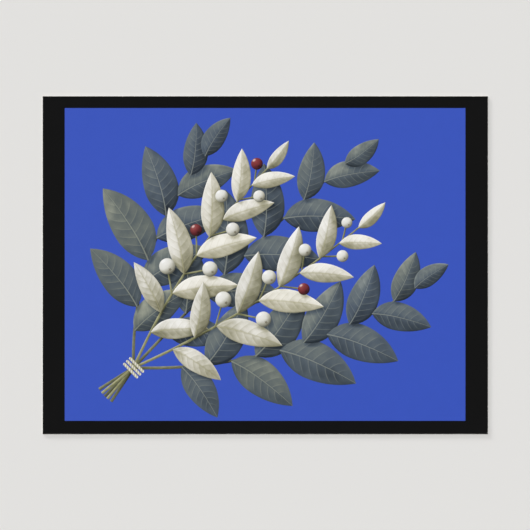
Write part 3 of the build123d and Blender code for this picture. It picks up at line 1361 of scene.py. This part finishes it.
# %% Light on a berry
def ball_light(tree, a, b):
    """Gives how lit a spot of a ball is, from its place on the disc in radii."""
    from_middle = total(tree, product(tree, a, a), product(tree, b, b))
    squared_height = reckon(tree, "MAXIMUM", reckon(tree, "SUBTRACT", 1.0, from_middle), 0.0)
    height = reckon(tree, "SQRT", squared_height)
    across, up, out = LIGHT
    return total(tree, product(tree, a, across), product(tree, b, up), product(tree, height, out))


print("a berry is lit along", LIGHT)

# %% [markdown]
# Many berries have a dark crown at their far end. A disc would do from afar, but
# a ring whose radius waves with the angle also gives the crown its points.

# %% Crown of a berry
CROWN_RIGHT = 0.34
CROWN_DOWN = 0.40
CROWN_RADIUS = 0.16
CROWN_POINTS = 5.0
CROWN_POINT_LENGTH = 0.05


def crown_mask(tree, a, b):
    """Gives a mask of the small crown with its points."""
    x = reckon(tree, "SUBTRACT", a, CROWN_RIGHT)
    y = reckon(tree, "ADD", b, CROWN_DOWN)
    distance = reckon(tree, "SQRT", total(tree, product(tree, x, x), product(tree, y, y)))
    turn = product(tree, reckon(tree, "ARCTAN2", y, x), CROWN_POINTS)
    wave = reckon(tree, "COSINE", turn)
    crown_edge = reckon(tree, "MULTIPLY_ADD", wave, CROWN_POINT_LENGTH, CROWN_RADIUS)
    return remap(tree, reckon(tree, "SUBTRACT", crown_edge, distance), low=-0.04, high=0.05)


print("a crown has", int(CROWN_POINTS), "points")

# %% [markdown]
# White and red berries differ only in their colours, so one function makes both
# toners from the light and the crown, with a little noise to age the skin and a
# small bright spot where the light is strongest. A real highlight can't be had
# here, because the film is flat and would shine all over or not at all.

# %% Berries
BALL_CONTRAST = 0.62
BERRY_PATCHES = 30.0
BERRY_PLAY = 0.12
BERRY_CAST_SHADE = 0.35
BERRY_MEAN_LIGHT = 0.26
GLINT_STRENGTH = 0.8
CROWN_STRENGTH = 0.75
WHITE_LIGHTS = [
    (0.00, srgb(98, 97, 84)),
    (0.35, srgb(172, 170, 154)),
    (0.62, srgb(226, 225, 217)),
    (1.00, srgb(250, 250, 248)),
]
RED_LIGHTS = [
    (0.00, srgb(34, 10, 14)),
    (0.45, srgb(92, 30, 36)),
    (0.75, srgb(134, 54, 56)),
    (1.00, srgb(178, 104, 100)),
]


def berry_toner(name, lights, glint_colour, crown_colour):
    """Makes the toner of berries."""
    material, tree, shader = new_material(name)
    a, b = read_pattern(tree)
    lit = ball_light(tree, a, b)
    skin_place = join_vector(tree, a, b, product(tree, read_number(tree, "tint"), BERRY_PATCHES))
    light = total(
        tree,
        BERRY_MEAN_LIGHT,
        product(tree, lit, BALL_CONTRAST),
        play(tree, noise(tree, skin_place, scale=1.5, detail=3.0), BERRY_PLAY),
        product(tree, read_number(tree, "shade"), -BERRY_CAST_SHADE),
    )
    colour = ramp(tree, light, lights)
    glint = product(tree, remap(tree, lit, low=0.93, high=0.99), GLINT_STRENGTH)
    colour = mix_colours(tree, glint, colour, glint_colour)
    crown = product(tree, crown_mask(tree, a, b), CROWN_STRENGTH)
    colour = mix_colours(tree, crown, colour, crown_colour)
    finish_toner(tree, shader, colour, uneven=0.015)
    return material


white_toner = berry_toner(
    "white_berry_toner_finish",
    WHITE_LIGHTS,
    glint_colour=srgb(254, 254, 253),
    crown_colour=srgb(96, 88, 66),
)
red_toner = berry_toner(
    "red_berry_toner_finish",
    RED_LIGHTS,
    glint_colour=srgb(236, 206, 200),
    crown_colour=srgb(30, 12, 14),
)
paint("white_berry", white_toner)
paint("red_berry", red_toner)

# %% [markdown]
# Twine is twisted, so slanted stripes cross it, and it rounds away at its
# edges. Its strands could be cut as shapes of their own, but they would be
# slivers, so a sine along and across the cord draws them.

# %% Twine
STRAND_SLANT = 1.9
STRAND_PITCH = 7.0
TWIST_LIGHT = 0.16
TWINE_MEAN_LIGHT = 0.62
TWINE_EDGE_SHADE = 0.30
TWINE_ROD_LIGHT = 0.16
TWINE_LIGHTS = [
    (0.00, srgb(88, 84, 62)),
    (0.40, srgb(176, 172, 148)),
    (0.75, srgb(232, 230, 216)),
    (1.00, srgb(250, 249, 244)),
]

twine_toner, tree, shader = new_material("twine_toner_finish")
distance, across = read_pattern(tree)
strand = reckon(tree, "MULTIPLY_ADD", across, STRAND_SLANT, product(tree, distance, STRAND_PITCH))
light = total(
    tree,
    TWINE_MEAN_LIGHT,
    product(tree, reckon(tree, "SINE", strand), TWIST_LIGHT),
    product(tree, across, across, -TWINE_EDGE_SHADE),
    product(tree, read_number(tree, "fold"), across, TWINE_ROD_LIGHT),
)
finish_toner(tree, shader, ramp(tree, light, TWINE_LIGHTS), uneven=0.02)
paint("twine", twine_toner)
